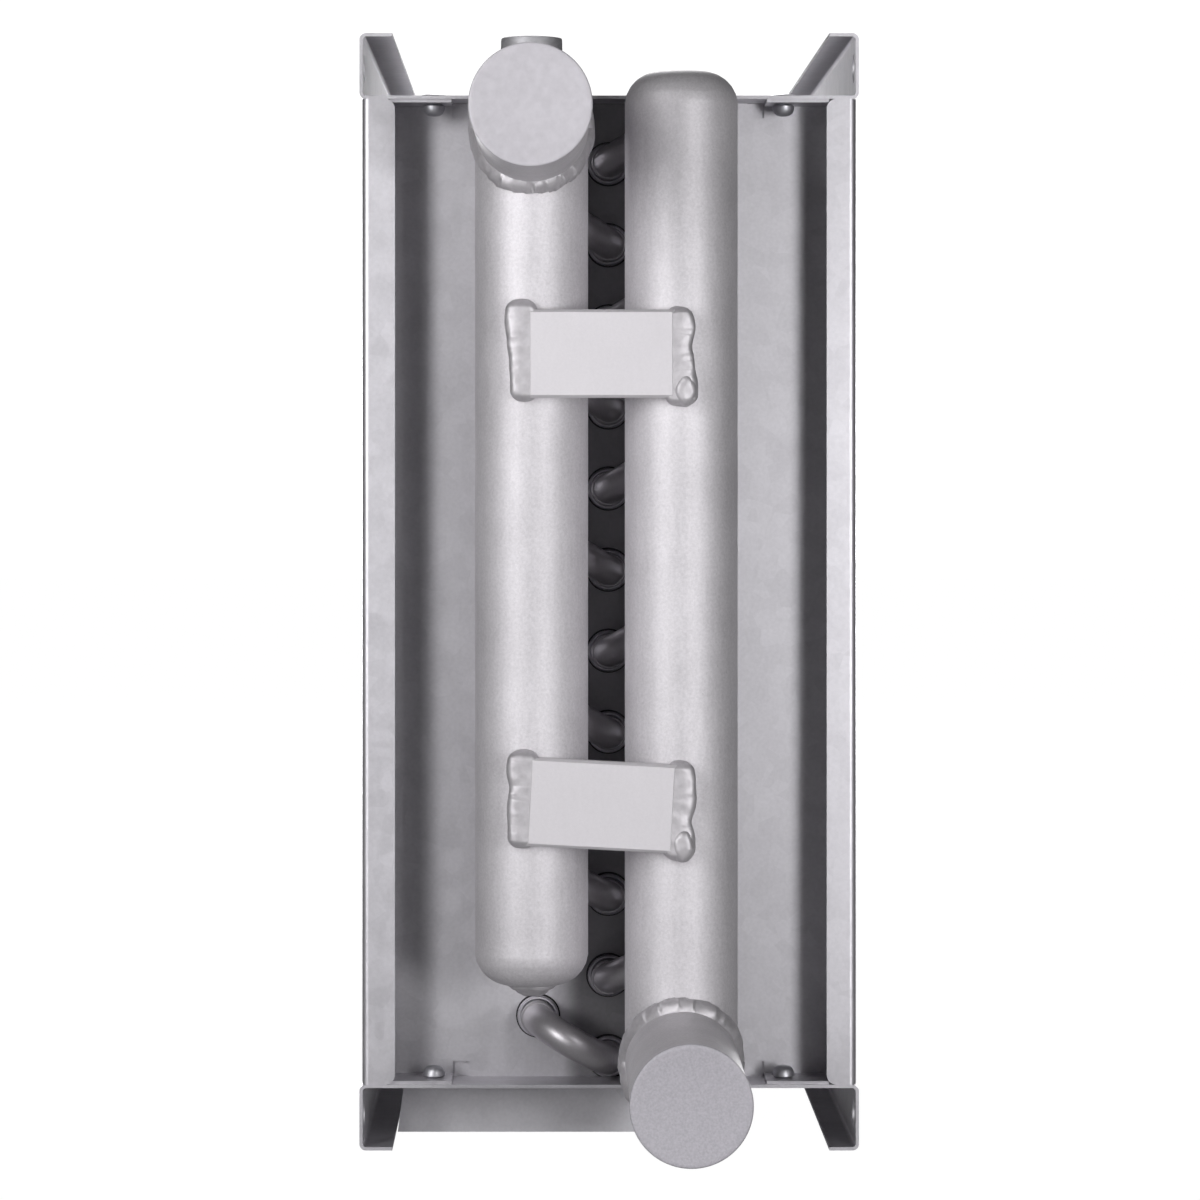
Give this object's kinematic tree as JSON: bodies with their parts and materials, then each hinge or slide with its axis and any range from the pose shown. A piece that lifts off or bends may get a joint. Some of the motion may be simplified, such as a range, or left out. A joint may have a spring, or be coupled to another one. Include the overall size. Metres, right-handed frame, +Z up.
{
  "type": "duct water heating coil",
  "caption": "Finned copper tube water coil in a flanged galvanised casing, with welded pipe headers and connection stubs for a rectangular air duct.",
  "frame": {"origin": "centre of the air inlet opening, in the plane of the inlet flange", "axes": "+X along the air flow, +Y along the tubes away from the headers, +Z up"},
  "size_m": [0.152, 0.6627, 0.34],
  "materials": {
    "galvanised_sheet": "hot-dip galvanised sheet, satin",
    "aluminium_fin": "bright mill foil",
    "copper_tube": "drawn copper, slightly tarnished",
    "silver_paint": "sprayed aluminium paint, satin",
    "bare_steel": "turned steel, satin",
    "cap_plastic": "moulded, matt pale grey",
    "rivet_steel": "zinc plated, bright"
  },
  "bodies": {
    "root": {"top_panel": "galvanised_sheet", "bottom_panel": "galvanised_sheet", "header_side_tube_plate": "galvanised_sheet", "far_side_tube_plate": "galvanised_sheet", "bottom_stiffener_angle": "galvanised_sheet", "fin_pack": "aluminium_fin", "inlet_row_hairpin_tubes": "copper_tube", "middle_row_hairpin_tubes": "copper_tube", "outlet_row_hairpin_tubes": "copper_tube", "inlet_side_return_bends": "silver_paint", "outlet_side_return_bends": "silver_paint", "return_feeder_tubes": "silver_paint", "supply_feeder_tubes": "silver_paint", "return_header_pipe": "silver_paint", "supply_header_pipe": "silver_paint", "return_connection_stub": "silver_paint", "supply_connection_stub": "silver_paint", "upper_tie_bar": "silver_paint", "lower_tie_bar": "silver_paint", "vent_socket": "bare_steel", "vent_plug": "bare_steel", "drain_socket": "bare_steel", "drain_plug": "bare_steel", "return_connection_cap": "cap_plastic", "supply_connection_cap": "cap_plastic", "header_side_rivets": "rivet_steel", "far_side_rivets": "rivet_steel"}
  },
  "joints": []
}
